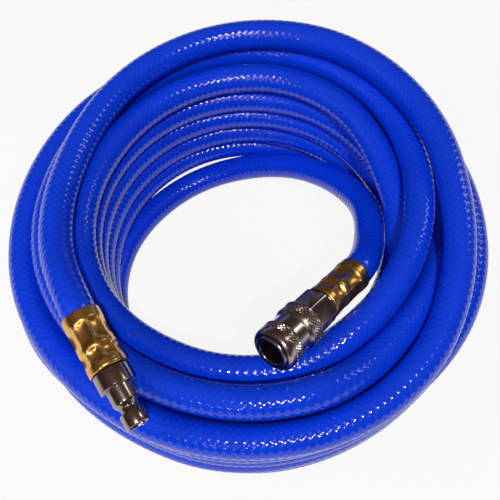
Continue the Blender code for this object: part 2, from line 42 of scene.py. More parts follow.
# ---- Camera ----------------------------------------------------------------------------
# The coil is seen from the front left and well above, standing on a table at arm's length,
# with the camera turned a few degrees about its own line of sight.
COIL_CENTRE = np.array((1.84, -1.18, 0.0)) * MM
CAMERA_PLACE = (112.9, -111.4, 365.9)
HEADING, DOWNWARD, ROLL = 45, 64.2, -3.4        # in degrees
camera_data = bpy.data.cameras.new("camera")
camera_data.lens, camera_data.sensor_width = 46.08, 36
camera_data.clip_start, camera_data.clip_end = 0.01, 20
camera = bpy.data.objects.new("camera", camera_data)
bpy.context.scene.collection.objects.link(camera)
camera.matrix_world = (
    Matrix.Translation(Vector(CAMERA_PLACE) * MM + Vector(COIL_CENTRE))
    @ Matrix.Rotation(math.radians(HEADING), 4, "Z")
    @ Matrix.Rotation(math.radians(90 - DOWNWARD), 4, "X")
    @ Matrix.Rotation(math.radians(ROLL), 4, "Z")
)
bpy.context.scene.camera = camera

# ---- The two fittings' places ----------------------------------------------------------
# The quick coupler lies inside the coil with its mouth tilted up, and the plug lies nearly
# level on the front turns. Each is modelled upright, with its open end at the origin and
# the hose above it, and is then laid in place.


def fitting_frame(open_end, axis):
    """The frame that lays an upright fitting at its open end, along its axis."""
    side = Vector((0, 0, 1)).cross(axis).normalized()
    laid = Matrix((side, axis.cross(side), axis)).transposed().to_4x4()
    laid.translation = open_end
    return laid


COUPLER_MOUTH, COUPLER_AXIS = (64.94, -54.5463, 109.2927), (0, 0.943223, -0.332161)
PLUG_NOSE, PLUG_AXIS = (44.8699, -110.8883, 108.3019), (-0.955366, 0.281179, 0.090633)
coupler_frame = fitting_frame(Vector(COUPLER_MOUTH) * MM, Vector(COUPLER_AXIS))
plug_frame = fitting_frame(Vector(PLUG_NOSE) * MM, Vector(PLUG_AXIS))
COUPLER_FERRULE = 37.0 * MM     # from the open end to the ferrule
PLUG_FERRULE = 25.3 * MM        # the same, on the plug
FERRULE_LENGTH = 27.0 * MM
HOSE_INSET = 1.5 * MM           # from the ferrule's front to the hose's end inside it

# ---- Hose: its route -------------------------------------------------------------------
# Eleven metres of hose are wound in three columns of turns: up the inner column, down the
# middle one and up the outer one, with a loose turn inside and three more laid on top.
# Turns are laid by angle, column and level, and then settle a hose's thickness apart.
HOSE_DIAMETER = 15.0 * MM
PITCH = HOSE_DIAMETER + 0.42 * MM       # from the middle of one turn to the next
COIL_RADIUS = 83.6 * MM         # of the inner column
FLOOR_LEVEL = 6.0 * MM          # of the hose's middle, where its underside is pressed flat
# Keys of turn angle in degrees, column and level, the last two in hose widths.
LOOSE_TURN = [
    (30, -1.29, 4.36), (45, -1.24, 3.88), (60, -1.15, 3.25), (75, -1.12, 2.65),
    (90, -1.08, 2.10), (105, -1.03, 1.60), (120, -0.97, 1.10), (135, -0.86, 0.62),
    (150, -0.72, 0.24), (165, -0.62, 0.04), (185, -0.52, 0.00), (205, -0.30, 0.00),
    (225, -0.10, 0.00), (240, 0.00, 0.00),
]
TOP_TURNS = [
    (1785, -0.12, 4.04), (1800, -0.20, 4.20), (1815, -0.28, 4.35), (1830, -0.32, 4.47),
    (1860, -0.38, 4.65), (1890, -0.07, 5.00), (1920, 0.07, 5.10), (1950, -0.03, 5.10),
    (1995, -0.16, 5.10), (2025, -0.03, 5.05), (2055, 0.05, 5.02), (2085, -0.03, 5.04),
    (2115, 0.03, 5.06), (2130, 0.04, 5.10), (2145, -0.03, 5.40), (2175, -0.04, 5.54),
    (2205, 0.18, 5.43), (2220, 0.48, 5.20), (2235, 0.81, 5.04), (2250, 1.05, 5.02),
    (2280, 1.36, 5.00), (2310, 1.23, 5.00), (2355, 0.96, 5.03), (2385, 1.04, 5.06),
    (2400, 1.01, 5.24), (2415, 0.95, 5.47), (2430, 0.92, 5.63), (2460, 0.98, 5.70),
    (2490, 1.07, 5.66), (2505, 0.94, 5.15), (2520, 0.82, 4.90), (2535, 0.90, 4.75),
    (2550, 0.98, 4.58),
]
OUTER_END = [
    (5940, 2.08, 4.12), (5970, 1.94, 4.31), (6000, 1.92, 4.51), (6030, 1.83, 4.87),
    (6060, 1.89, 5.03), (6090, 1.97, 5.08), (6105, 1.95, 5.15), (6120, 1.80, 5.33),
    (6135, 1.51, 5.57), (6150, 1.24, 5.79), (6165, 1.10, 5.95), (6195, 1.27, 5.99),
    (6225, 1.38, 6.04), (6255, 1.19, 6.02), (6285, 0.82, 5.99), (6315, 0.41, 6.03),
    (6330, 0.30, 6.12), (6345, 0.33, 6.30), (6360, 0.45, 6.52),
]
MIDDLE_START, OUTWARD_START, OUTWARD_END = 2550, 4125, 4275
INNER_LAP, MIDDLE_LAP, OUTER_LAP = 1, 7, 12     # on which each column starts
SEAM = 45                       # before angle 0, where each lap begins
MIDDLE_TOP, HALF_SUNK = 5, 0.56


def ease(start, end, x):
    """Rises smoothly from 0 at the start to 1 at the end."""
    t = min(max((x - start) / (end - start), 0.0), 1.0)
    return t * t * (3 - 2 * t)


def through(keys, angle):
    """Column and level on a smooth curve through the listed keys."""
    i = len(keys) - 2 if angle >= keys[-2][0] else max(sum(k[0] <= angle for k in keys) - 1, 0)
    (a0, *p0), (a1, *p1) = keys[i], keys[i + 1]
    before, after = keys[max(i - 1, 0)], keys[min(i + 2, len(keys) - 1)]
    t, span = (angle - a0) / (a1 - a0), a1 - a0
    place = []
    for k in (0, 1):
        slope0 = (p1[k] - before[k + 1]) / (a1 - before[0]) * span
        slope1 = (after[k + 1] - p0[k]) / (after[0] - a0) * span
        place.append(p0[k] * (2 * t**3 - 3 * t**2 + 1) + slope0 * (t**3 - 2 * t**2 + t)
                     + p1[k] * (3 * t**2 - 2 * t**3) + slope1 * (t**3 - t**2))
    return place


def turn_place(angle):
    """Column and level of the hose at a turn angle, counted in hose widths."""
    for keys in (LOOSE_TURN, TOP_TURNS, OUTER_END):
        if keys[0][0] <= angle <= keys[-1][0]:
            return through(keys, angle)
    lap, along = divmod(angle + SEAM, 360)
    nested = ease(290, 330, along) + 1 - ease(15, 75, along)
    inner = (0.03 - 0.15 * nested, max(lap - INNER_LAP + ease(15, 150, along), 0))
    middle = (1.10 - 0.30 * nested,
              MIDDLE_TOP - (lap - MIDDLE_LAP) + HALF_SUNK
              - (1 + HALF_SUNK) * ease(5, 115, along) + HALF_SUNK * ease(265, 330, along))
    outer = (2.14 - 0.42 * nested, max(lap - OUTER_LAP + ease(210, 345, along), 0))
    if angle < MIDDLE_START:
        return inner
    if angle < OUTWARD_START:
        return middle
    share = ease(OUTWARD_START, OUTWARD_END, angle)
    return (middle[0] * (1 - share) + outer[0] * share, 0) if share < 1 else outer


SETTLING_ROUNDS, LOOSE_ROUNDS = 320, 90
PUSH, STIFF, LOOSE = 0.3, 0.12, 0.02
SAME_TURN = 8                   # points nearer than this along the hose don't push each other


def settle(points, spacing):
    """Pushes turns that lie too near apart, as in a wound hose, and keeps them off the ground."""
    laid = points.copy()
    index = np.arange(len(points))
    same = np.abs(index[:, None] - index[None, :-1] - 0.5) < SAME_TURN
    for k in range(SETTLING_ROUNDS):
        step = points[1:] - points[:-1]
        offset = points[:, None] - points[None, :-1]
        share = np.clip((offset * step[None]).sum(2) / (step**2).sum(1)[None], 0, 1)
        offset -= share[..., None] * step[None]
        distance = np.linalg.norm(offset, axis=2)
        distance[same] = 1.0
        i, j = np.nonzero(distance < spacing)
        move = offset[i, j] * ((spacing / distance[i, j] - 1) * PUSH)[:, None]
        part = share[i, j][:, None]
        push = np.zeros_like(points)
        np.add.at(push, i, move)
        np.add.at(push, j, -move * (1 - part))
        np.add.at(push, j + 1, -move * part)
        shift = points + push - laid
        shift[:3] = shift[-3:] = 0
        stiff = STIFF if k < SETTLING_ROUNDS - LOOSE_ROUNDS else LOOSE
        shift[1:-1] += stiff * (shift[:-2] + shift[2:] - 2 * shift[1:-1])
        points = laid + shift
        points[:, 2] = np.maximum(points[:, 2], FLOOR_LEVEL)
    return points


FIRST_ANGLE, LAST_ANGLE, ANGLE_STEP = LOOSE_TURN[0][0], OUTER_END[-1][0], 15
turns = []
for angle in range(FIRST_ANGLE, LAST_ANGLE + 1, ANGLE_STEP):
    column, level = turn_place(angle)
    radius, turn = COIL_RADIUS + column * PITCH, math.radians(angle)
    turns.append((radius * math.cos(turn), radius * math.sin(turn), FLOOR_LEVEL + level * PITCH))
turns = settle(np.array(turns), PITCH + 0.05 * MM) + COIL_CENTRE

# A short straight length runs out of each ferrule, and one smooth curve joins all the points.
STRAIGHT = 3 * MM               # past the ferrule
coupler_side = [coupler_frame @ Vector((0, 0, z)) for z in
                (COUPLER_FERRULE + HOSE_INSET, COUPLER_FERRULE + 0.5 * FERRULE_LENGTH,
                 COUPLER_FERRULE + FERRULE_LENGTH + STRAIGHT)]
plug_side = [plug_frame @ Vector((0, 0, z)) for z in
             (PLUG_FERRULE + FERRULE_LENGTH + STRAIGHT, PLUG_FERRULE + 0.5 * FERRULE_LENGTH,
              PLUG_FERRULE + HOSE_INSET)]
stations = np.vstack([np.array(coupler_side), turns, np.array(plug_side)])
RING_STEP = 3.6 * MM            # along the hose, from one ring of its skin to the next
reach = np.concatenate([[0], np.cumsum(np.linalg.norm(np.diff(stations, axis=0), axis=1))])
slope = np.gradient(stations, reach, axis=0)
length_along = np.linspace(0, reach[-1], round(reach[-1] / RING_STEP) + 1)
cell = np.clip(np.searchsorted(reach, length_along, side="right") - 1, 0, len(reach) - 2)
span = (reach[cell + 1] - reach[cell])[:, None]
t = ((length_along - reach[cell]) / span[:, 0])[:, None]
route = (stations[cell] * (2 * t**3 - 3 * t**2 + 1) + slope[cell] * span * (t**3 - 2 * t**2 + t)
         + stations[cell + 1] * (3 * t**2 - 2 * t**3) + slope[cell + 1] * span * (t**3 - t**2))

# ---- Hose: its skin --------------------------------------------------------------------
# The hose is blue see-through plastic over a diamond braid of yarn, which shows as fine
# raised lines. It is crimped thinner in the ferrules and pressed flat under the coil.
HOSE_RADIUS = 7.67 * MM
CRIMPED_RADIUS = 6.3 * MM
HOSE_BORE = 5.4 * MM
BORE_DEPTH = 26 * MM
HOSE_SIDES = 24

distance = np.concatenate([[0], np.cumsum(np.linalg.norm(np.diff(route, axis=0), axis=1))])
hose_length = distance[-1]
tangent = np.gradient(route, distance, axis=0)
tangent /= np.linalg.norm(tangent, axis=1)[:, None]
side = np.cross(tangent[0], (0, 0, 1.0))
sides = [side / np.linalg.norm(side)]
for direction in tangent[1:]:
    side = sides[-1] - direction * np.dot(sides[-1], direction)
    sides.append(side / np.linalg.norm(side))
sides = np.array(sides)
uprights = np.cross(tangent, sides)

grip = FERRULE_LENGTH - HOSE_INSET
to_end = np.minimum(distance, hose_length - distance)
swell = np.array([ease(grip - 2.5 * MM, grip + 1.5 * MM, d) for d in to_end])
radii = CRIMPED_RADIUS + (HOSE_RADIUS - CRIMPED_RADIUS) * swell
around = np.linspace(0, 2 * math.pi, HOSE_SIDES, endpoint=False)
ring = (np.cos(around)[None, :, None] * sides[:, None]
        + np.sin(around)[None, :, None] * uprights[:, None])


def end_bore(at):
    """Rings of the bore from its bottom out to the hose's cut end."""
    inwards = 1 if at == 0 else -1
    return [route[at] + tangent[at] * inwards * depth + HOSE_BORE * ring[at]
            for depth in (BORE_DEPTH, 0.5 * BORE_DEPTH, 0)]


outside = route[:, None] + radii[:, None, None] * ring
rings = end_bore(0) + list(outside) + end_bore(-1)[::-1]
along = ([BORE_DEPTH, 0.5 * BORE_DEPTH, 0] + list(distance)
         + [hose_length + x for x in (0, 0.5 * BORE_DEPTH, BORE_DEPTH)])
vertices = np.concatenate(rings)
vertices[:, 2] = np.maximum(vertices[:, 2], 0)
faces, corners_uv = [], []
for i in range(len(rings) - 1):
    this_ring, next_ring = i * HOSE_SIDES, (i + 1) * HOSE_SIDES
    for k in range(HOSE_SIDES):
        n = (k + 1) % HOSE_SIDES
        faces.append((this_ring + k, this_ring + n, next_ring + n, next_ring + k))
        corners_uv += [(k / HOSE_SIDES, along[i]), ((k + 1) / HOSE_SIDES, along[i]),
                       ((k + 1) / HOSE_SIDES, along[i + 1]), (k / HOSE_SIDES, along[i + 1])]
last = (len(rings) - 1) * HOSE_SIDES
faces += [tuple(range(HOSE_SIDES))[::-1], tuple(range(last, last + HOSE_SIDES))]
corners_uv += [(0, 0)] * (2 * HOSE_SIDES)
hose_mesh = bpy.data.meshes.new("blue_hose")
hose_mesh.from_pydata(vertices.tolist(), [], faces)
uv_map = hose_mesh.uv_layers.new(name="along_hose")
uv_map.data.foreach_set("uv", np.array(corners_uv, np.float32).ravel())
hose = bpy.data.objects.new("blue_hose", hose_mesh)
bpy.context.scene.collection.objects.link(hose)
shape = bmesh.new()
shape.from_mesh(hose_mesh)
bmesh.ops.recalc_face_normals(shape, faces=shape.faces)
shape.to_mesh(hose_mesh)
shape.free()
hose_mesh.shade_smooth()

# ---- Hose: its finish ------------------------------------------------------------------
# Twelve yarns wind each way round the hose, under a thin gloss skin. The skin rises a little
# over each yarn, so a light breaks into a row of beads along each turn.


def add_node(tree, kind, **values):
    """Adds a node, sets its properties and its plain sockets, and links what comes as a socket."""
    node = tree.nodes.new(kind)
    for name, value in values.items():
        if hasattr(node, name):
            setattr(node, name, value)
            continue
        key = int(name[1:]) if name[0] == "_" else name.replace("_", " ")
        if isinstance(value, bpy.types.NodeSocket):
            tree.links.new(value, node.inputs[key])
        else:
            node.inputs[key].default_value = value
    return node


def braid_group():
    """Yarns that wind both ways round a hose, from its map: how high and where they lie."""
    tree = bpy.data.node_groups.new("yarn_braid", "ShaderNodeTree")
    tree.interface.new_socket("Place", in_out="INPUT", socket_type="NodeSocketVector")
    for name in ("Yarns", "Pitch"):
        tree.interface.new_socket(name, in_out="INPUT", socket_type="NodeSocketFloat")
    for name in ("Height", "Yarn"):
        tree.interface.new_socket(name, in_out="OUTPUT", socket_type="NodeSocketFloat")
    given, made = tree.nodes.new("NodeGroupInput"), tree.nodes.new("NodeGroupOutput")
    split = add_node(tree, "ShaderNodeSeparateXYZ", Vector=given.outputs["Place"])
    turn = add_node(tree, "ShaderNodeMath", operation="MULTIPLY", _0=split.outputs["X"],
                    _1=given.outputs["Yarns"])
    run = add_node(tree, "ShaderNodeMath", operation="DIVIDE", _0=split.outputs["Y"],
                   _1=given.outputs["Pitch"])
    yarns = []
    for way in ("ADD", "SUBTRACT"):
        phase = add_node(tree, "ShaderNodeMath", operation=way, _0=turn.outputs[0],
                         _1=run.outputs[0])
        wave = add_node(tree, "ShaderNodeMath", operation="PINGPONG", _0=phase.outputs[0], _1=0.5)
        ridge = add_node(tree, "ShaderNodeMapRange", interpolation_type="SMOOTHERSTEP",
                         Value=wave.outputs[0])
        ridge.inputs["From Min"].default_value, ridge.inputs["From Max"].default_value = 0.0, 0.5
        yarns.append(ridge.outputs[0])
    over = add_node(tree, "ShaderNodeMath", operation="MAXIMUM", _0=yarns[0], _1=yarns[1])
    both = add_node(tree, "ShaderNodeMath", operation="ADD", _0=yarns[0], _1=yarns[1])
    tree.links.new(both.outputs[0], made.inputs["Height"])
    tree.links.new(over.outputs[0], made.inputs["Yarn"])
    return tree


BRAID = braid_group()
YARNS_EACH_WAY, YARN_PITCH, YARN_RELIEF = 12, 3.7 * MM, 0.08 * MM
hose_finish = bpy.data.materials.new("blue_braided_plastic")
hose_finish.use_nodes = True
tree = hose_finish.node_tree
shader = tree.nodes["Principled BSDF"]
uv = add_node(tree, "ShaderNodeUVMap", uv_map="along_hose")
braid = tree.nodes.new("ShaderNodeGroup")
braid.node_tree = BRAID
tree.links.new(uv.outputs[0], braid.inputs["Place"])
braid.inputs["Yarns"].default_value = YARNS_EACH_WAY
braid.inputs["Pitch"].default_value = YARN_PITCH
here = add_node(tree, "ShaderNodeTexCoord")
cloud = add_node(tree, "ShaderNodeTexNoise", Vector=here.outputs["Object"], Scale=70.0, Detail=4.0)
mottle = add_node(tree, "ShaderNodeTexNoise", Vector=here.outputs["Object"], Scale=900.0,
                  Detail=2.0)
shade = add_node(tree, "ShaderNodeMath", operation="MULTIPLY_ADD", _0=mottle.outputs["Fac"],
                 _1=0.45, _2=cloud.outputs["Fac"])
tone = add_node(tree, "ShaderNodeMath", operation="MULTIPLY_ADD", _0=braid.outputs["Yarn"], _1=0.35,
                _2=shade.outputs[0])
colour = add_node(tree, "ShaderNodeMix", data_type="RGBA", _0=tone.outputs[0])
colour.inputs[6].default_value = (0.0010, 0.029, 0.54, 1)
colour.inputs[7].default_value = (0.0020, 0.050, 0.76, 1)
tree.links.new(colour.outputs[2], shader.inputs["Base Color"])
bump = add_node(tree, "ShaderNodeBump", Height=braid.outputs["Height"], Strength=1.0,
                Distance=YARN_RELIEF)
tree.links.new(bump.outputs[0], shader.inputs["Normal"])
rough = add_node(tree, "ShaderNodeMapRange", Value=cloud.outputs["Fac"])
rough.inputs["To Min"].default_value, rough.inputs["To Max"].default_value = 0.11, 0.16
tree.links.new(rough.outputs[0], shader.inputs["Roughness"])
hose_mesh.materials.append(hose_finish)

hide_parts("hose")
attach(hose, "hose_assembly")

# ---- Crimped ferrules ------------------------------------------------------------------
# Each hose end is held by a thin brass ferrule with a rolled front lip, pressed in by eight
# jaws in two rows, which leaves hollows with narrow ridges between them and a plain ring at
# the open end.


def lathe(name, outline, sides):
    """Spins a closed outline of (radius, place) points, in mm, round +Z."""
    bpy.ops.object.select_all(action="DESELECT")
    bpy.ops.mesh.primitive_plane_add(size=0.001)
    piece = bpy.context.object
    piece.name = piece.data.name = name
    bpy.ops.object.mode_set(mode="EDIT")
    bpy.ops.mesh.select_all(action="SELECT")
    bpy.ops.mesh.merge(type="CENTER")
    bpy.ops.transform.translate(value=(outline[0][0] * MM, 0, outline[0][1] * MM))
    for (r0, z0), (r1, z1) in zip(outline, outline[1:] + outline[:1]):
        step = ((r1 - r0) * MM, 0, (z1 - z0) * MM)
        bpy.ops.mesh.extrude_region_move(TRANSFORM_OT_translate={"value": step})
    bpy.ops.mesh.select_all(action="SELECT")
    bpy.ops.mesh.spin(steps=sides, angle=2 * math.pi, center=(0, 0, 0), axis=(0, 0, 1))
    bpy.ops.mesh.select_all(action="SELECT")
    bpy.ops.mesh.remove_doubles(threshold=0.000002)
    bpy.ops.mesh.normals_make_consistent(inside=False)
    bpy.ops.object.mode_set(mode="OBJECT")
    return piece


def lay(piece, place, crease=35):
    """Puts an upright piece in a fitting's frame, with its place in its mesh."""
    bpy.ops.object.select_all(action="DESELECT")
    piece.select_set(True)
    bpy.context.view_layer.objects.active = piece
    piece.matrix_world = place
    bpy.ops.object.transform_apply(location=True, rotation=True, scale=True)
    bpy.ops.object.shade_smooth_by_angle(angle=math.radians(crease))


OUTER, WALL, LIP, LENGTH = 8.5, 0.85, 1.2, 27.0
OUTSIDE_ROWS, INSIDE_ROWS = 44, 30
JAWS = 8
CRIMP_ROWS = ((0.13, 0.37), (0.42, 0.82))       # from the front, as shares of the length
CRIMP_DEPTH, INNER_DEPTH = 1.6, 1.2             # of the outer and the inner wall
NECK_PLACE, NECK_WIDTH, NECK_DEPTH = 0.395, 0.05, 0.12


def crimped_ferrule(name, start, place, stands_for, turned):
    """A ferrule laid in its fitting's place, its jaw marks turned by an angle."""
    outline = [(OUTER - 0.45, LENGTH), (OUTER - 0.1, LENGTH - 0.2), (OUTER, LENGTH - 0.6)]
    outline += [(OUTER, LENGTH * (1 - k / OUTSIDE_ROWS)) for k in range(2, OUTSIDE_ROWS - 3)]
    outline += [(OUTER - 0.05, 1.9), (OUTER + 0.05, 1.3), (OUTER + 0.02, 0.7), (OUTER - 0.15, 0.25),
                (OUTER - 0.5, 0.0), (5.75, 0.0), (5.5, 0.25), (5.5, LIP)]
    outline += [(OUTER - WALL, LIP + (LENGTH - LIP) * k / INSIDE_ROWS)
                for k in range(INSIDE_ROWS + 1)]
    ferrule = lathe(name, outline, sides=128)
    for vertex in ferrule.data.vertices:
        radius = math.hypot(vertex.co.x, vertex.co.y)
        if radius < OUTER * MM - 1.2 * WALL * MM:
            continue
        share = vertex.co.z / (LENGTH * MM)
        sector = JAWS * (math.atan2(vertex.co.y, vertex.co.x) - turned) / (2 * math.pi) % 1.0
        across = abs(2 * sector - 1)
        pressed = 0.0
        for start_row, end_row in CRIMP_ROWS:
            along_row = abs(2 * (share - start_row) / (end_row - start_row) - 1)
            if along_row < 1:
                pressed = max(pressed, (1 - along_row**2.8) * (1 - 0.9 * across**2.4))
        neck = math.exp(-((share - NECK_PLACE) / NECK_WIDTH)**2) * NECK_DEPTH
        depth = CRIMP_DEPTH if radius > (OUTER - 0.5 * WALL) * MM else INNER_DEPTH
        squeeze = 1 - (depth * pressed + neck) * MM / radius
        vertex.co.x *= squeeze
        vertex.co.y *= squeeze
    lay(ferrule, place @ Matrix.Translation((0, 0, start)))
    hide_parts(stands_for)
    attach(ferrule, "hose_assembly")
    return ferrule


coupler_ferrule = crimped_ferrule("coupler_crimp_ferrule", COUPLER_FERRULE, coupler_frame,
                                  "coupler_ferrule", turned=0)
plug_ferrule = crimped_ferrule("plug_crimp_ferrule", PLUG_FERRULE, plug_frame,
                               "plug_ferrule", turned=math.radians(10))


def metal_wear_group():
    """Handling marks and fine scratches, from an object's own coordinates."""
    tree = bpy.data.node_groups.new("metal_wear", "ShaderNodeTree")
    tree.interface.new_socket("Place", in_out="INPUT", socket_type="NodeSocketVector")
    for name in ("Grain", "Scratches"):
        tree.interface.new_socket(name, in_out="INPUT", socket_type="NodeSocketFloat")
    for name in ("Marks", "Height"):
        tree.interface.new_socket(name, in_out="OUTPUT", socket_type="NodeSocketFloat")
    given, made = tree.nodes.new("NodeGroupInput"), tree.nodes.new("NodeGroupOutput")
    cloud = add_node(tree, "ShaderNodeTexNoise", Vector=given.outputs["Place"],
                     Scale=given.outputs["Grain"], Detail=6.0, Roughness=0.62)
    fine = add_node(tree, "ShaderNodeTexNoise", Vector=given.outputs["Place"],
                    Scale=given.outputs["Scratches"], Detail=3.0, Distortion=2.0)
    mixed = add_node(tree, "ShaderNodeMath", operation="MULTIPLY_ADD", _0=fine.outputs["Fac"],
                     _1=0.35, _2=cloud.outputs["Fac"])
    marks = add_node(tree, "ShaderNodeMapRange", Value=mixed.outputs[0])
    marks.inputs["From Min"].default_value, marks.inputs["From Max"].default_value = 0.45, 0.95
    tree.links.new(marks.outputs[0], made.inputs["Marks"])
    tree.links.new(fine.outputs["Fac"], made.inputs["Height"])
    return tree


METAL_WEAR = metal_wear_group()
SCRATCHES, SCRATCH_RELIEF = 2600.0, 0.012 * MM


def metal(name, clean, tarnished, roughness, grain=220.0):
    """A polished metal whose colour and gloss vary with handling."""
    made = bpy.data.materials.new(name)
    made.use_nodes = True
    tree = made.node_tree
    shader = tree.nodes["Principled BSDF"]
    here = add_node(tree, "ShaderNodeTexCoord")
    wear = tree.nodes.new("ShaderNodeGroup")
    wear.node_tree = METAL_WEAR
    tree.links.new(here.outputs["Object"], wear.inputs["Place"])
    wear.inputs["Grain"].default_value, wear.inputs["Scratches"].default_value = grain, SCRATCHES
    colour = add_node(tree, "ShaderNodeMix", data_type="RGBA")
    tree.links.new(wear.outputs["Marks"], colour.inputs[0])
    colour.inputs[6].default_value, colour.inputs[7].default_value = (*clean, 1), (*tarnished, 1)
    tree.links.new(colour.outputs[2], shader.inputs["Base Color"])
    gloss = add_node(tree, "ShaderNodeMapRange", Value=wear.outputs["Marks"])
    gloss.inputs["To Min"].default_value, gloss.inputs["To Max"].default_value = roughness
    tree.links.new(gloss.outputs[0], shader.inputs["Roughness"])
    shader.inputs["Metallic"].default_value = 1.0
    bump = add_node(tree, "ShaderNodeBump", Height=wear.outputs["Height"], Strength=0.3,
                    Distance=SCRATCH_RELIEF)
    tree.links.new(bump.outputs[0], shader.inputs["Normal"])
    return made


brass = metal("crimped_brass", (0.94, 0.58, 0.18), (0.66, 0.32, 0.07), (0.24, 0.34))
for ferrule in (coupler_ferrule, plug_ferrule):
    ferrule.data.materials.append(brass)

# ---- Plug ------------------------------------------------------------------------------
# The plug is turned from one bar and nickel plated: a thin-rimmed nose, a groove for the
# coupler's balls, a plain shank and a stepped collar that stops against the ferrule.
barbs = [(4.35, 49.0), (4.9, 47.0), (5.1, 46.4), (4.4, 46.2), (4.4, 42.4), (5.1, 38.0), (4.4, 37.8),
         (4.4, 34.0), (5.1, 29.6), (4.4, 29.4), (4.4, 25.0)]
collar = [(7.3, 25.0), (7.7, 24.6), (7.7, 17.5), (7.25, 17.0)]
shank = [(5.55, 17.0), (5.55, 10.6), (5.35, 10.0), (4.9, 9.4)]
groove = [(3.95, 8.3), (3.9, 8.0), (3.9, 7.0), (4.0, 6.7)]
head = [(5.1, 5.9), (5.2, 5.6), (5.2, 1.5), (5.05, 0.9), (4.95, 0.12), (4.8, 0.0)]
bore = [(4.4, 0.0), (4.3, 0.1), (3.9, 1.8), (3.2, 2.6), (3.2, 49.0)]
plug = lathe("turned_plug", barbs + collar + shank + groove + head + bore, sides=128)
rounded = plug.modifiers.new("rounded", "BEVEL")
rounded.width, rounded.segments, rounded.angle_limit = 0.12 * MM, 3, math.radians(28)
bpy.context.view_layer.objects.active = plug
bpy.ops.object.modifier_apply(modifier="rounded")
lay(plug, plug_frame)
nickel = metal("nickel_plate", (0.43, 0.35, 0.31), (0.28, 0.21, 0.18), (0.15, 0.28), grain=160.0)
plug.data.materials.append(nickel)
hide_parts("plug_body")
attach(plug, "hose_assembly")

# ---- Coupler housing -------------------------------------------------------------------
# The housing runs right through the sleeve: a round rimmed mouth in front, and behind it a
# hexagon for a wrench, milled from the bar with its turned corners left on.
hexagon_bar = [(6.95, 35.4), (8.9, 35.4), (9.6, 34.8), (9.6, 24.2), (9.2, 23.7)]
barrel = [(8.0, 23.7), (8.0, 2.3), (7.4, 2.3), (7.4, 1.2), (8.0, 1.2)]
rim = [(8.0, 1.0), (7.95, 0.6), (7.8, 0.25), (7.55, 0.05), (7.3, 0.0), (6.1, 0.0), (5.9, 0.08),
       (5.7, 0.35)]
socket = [(5.6, 0.8), (5.6, 12.2), (6.5, 12.2), (6.5, 13.6), (5.6, 13.6), (5.6, 17.0)]
valve_bore = [(4.7, 17.0), (4.7, 18.0), (6.1, 18.0), (6.1, 25.3), (6.95, 25.3)]
housing = lathe("coupler_housing", hexagon_bar + barrel + rim + socket + valve_bore, sides=144)

# A ball hole is drilled and a flat of the hexagon milled at each sixth of a turn.
BALLS, BALL_PLACE = 6, 9.0
HOLE_RADIUS, HOLE_DEPTH, HOLE_MIDDLE = 1.8, 5.0, 6.6
ACROSS_FLATS, FLATS_MIDDLE = 17.0, 29.4
MILL_DEPTH, MILL_WIDTH, MILL_LENGTH = 4.0, 9.5, 11.8
mill_place = ACROSS_FLATS / 2 + MILL_DEPTH / 2
bpy.ops.object.select_all(action="DESELECT")
cutters = []
for k in range(BALLS):
    turn = 2 * math.pi * k / BALLS
    out_x, out_y = math.cos(turn), math.sin(turn)
    bpy.ops.mesh.primitive_cylinder_add(
        vertices=32, radius=HOLE_RADIUS * MM, depth=HOLE_DEPTH * MM,
        rotation=(0, math.pi / 2, turn),
        location=(HOLE_MIDDLE * out_x * MM, HOLE_MIDDLE * out_y * MM, BALL_PLACE * MM))
    cutters.append(bpy.context.object)
    bpy.ops.mesh.primitive_cube_add(
        size=1, scale=(MILL_DEPTH * MM, MILL_WIDTH * MM, MILL_LENGTH * MM),
        rotation=(0, 0, turn),
        location=(mill_place * out_x * MM, mill_place * out_y * MM, FLATS_MIDDLE * MM))
    cutters.append(bpy.context.object)
bpy.ops.object.select_all(action="DESELECT")
for thing in cutters:
    thing.select_set(True)
bpy.context.view_layer.objects.active = cutters[0]
bpy.ops.object.join()
cutter = bpy.context.object
milled = housing.modifiers.new("milled", "BOOLEAN")
milled.operation, milled.solver, milled.object = "DIFFERENCE", "EXACT", cutter
bpy.context.view_layer.objects.active = housing
bpy.ops.object.modifier_apply(modifier="milled")
bpy.data.objects.remove(cutter)
lay(housing, coupler_frame)
housing.data.materials.append(nickel)
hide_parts("coupler_body")
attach(housing, "hose_assembly")

# ---- Coupler sleeve --------------------------------------------------------------------
# The sleeve is drawn back by hand to free the plug. It is turned with a narrow waist between
# two collars, and each collar has a band of diamond knurling rolled into it for grip.
TEETH, TOOTH_DEPTH, TOOTH_LENGTH = 36, 0.58, 1.8
SAMPLES = 8                                     # of each tooth, round and along
FRONT_BAND, REAR_BAND = (5.2, 8.8, 10.3), (18.0, 23.05, 10.6)      # start, end and radius


def band(start, end, radius):
    """The points of a knurled band, close enough along it to shape its teeth."""
    count = round((end - start) / (TOOTH_LENGTH / SAMPLES))
    return [(radius, end - (end - start) * k / count) for k in range(count + 1)]


back_edge = [(9.9, 23.4), (10.25, 23.4), (10.5, 23.25)]
waist = [(10.35, 17.8), (10.35, 17.5), (10.6, 17.3), (10.6, 16.8), (10.4, 16.4), (9.6, 15.6),
         (9.4, 15.4), (9.4, 9.9), (9.55, 9.6), (9.95, 9.15)]
front_edge = [(10.1, 5.0), (10.1, 4.8), (10.3, 4.6), (10.3, 2.9), (10.2, 2.3), (9.9, 1.6),
              (9.5, 1.1), (9.1, 0.9), (8.85, 0.9), (8.75, 1.0), (8.75, 2.65)]
ball_recess = [(8.3, 2.65), (8.3, 3.7), (9.05, 3.7), (9.05, 6.9), (8.7, 6.9)]
spring_room = [(8.25, 8.2), (8.25, 17.2), (9.9, 17.2)]
sleeve_outline = back_edge + band(*REAR_BAND) + waist + band(*FRONT_BAND) + front_edge
sleeve_outline += ball_recess + spring_room
sleeve = lathe("knurled_sleeve", sleeve_outline, sides=TEETH * SAMPLES)
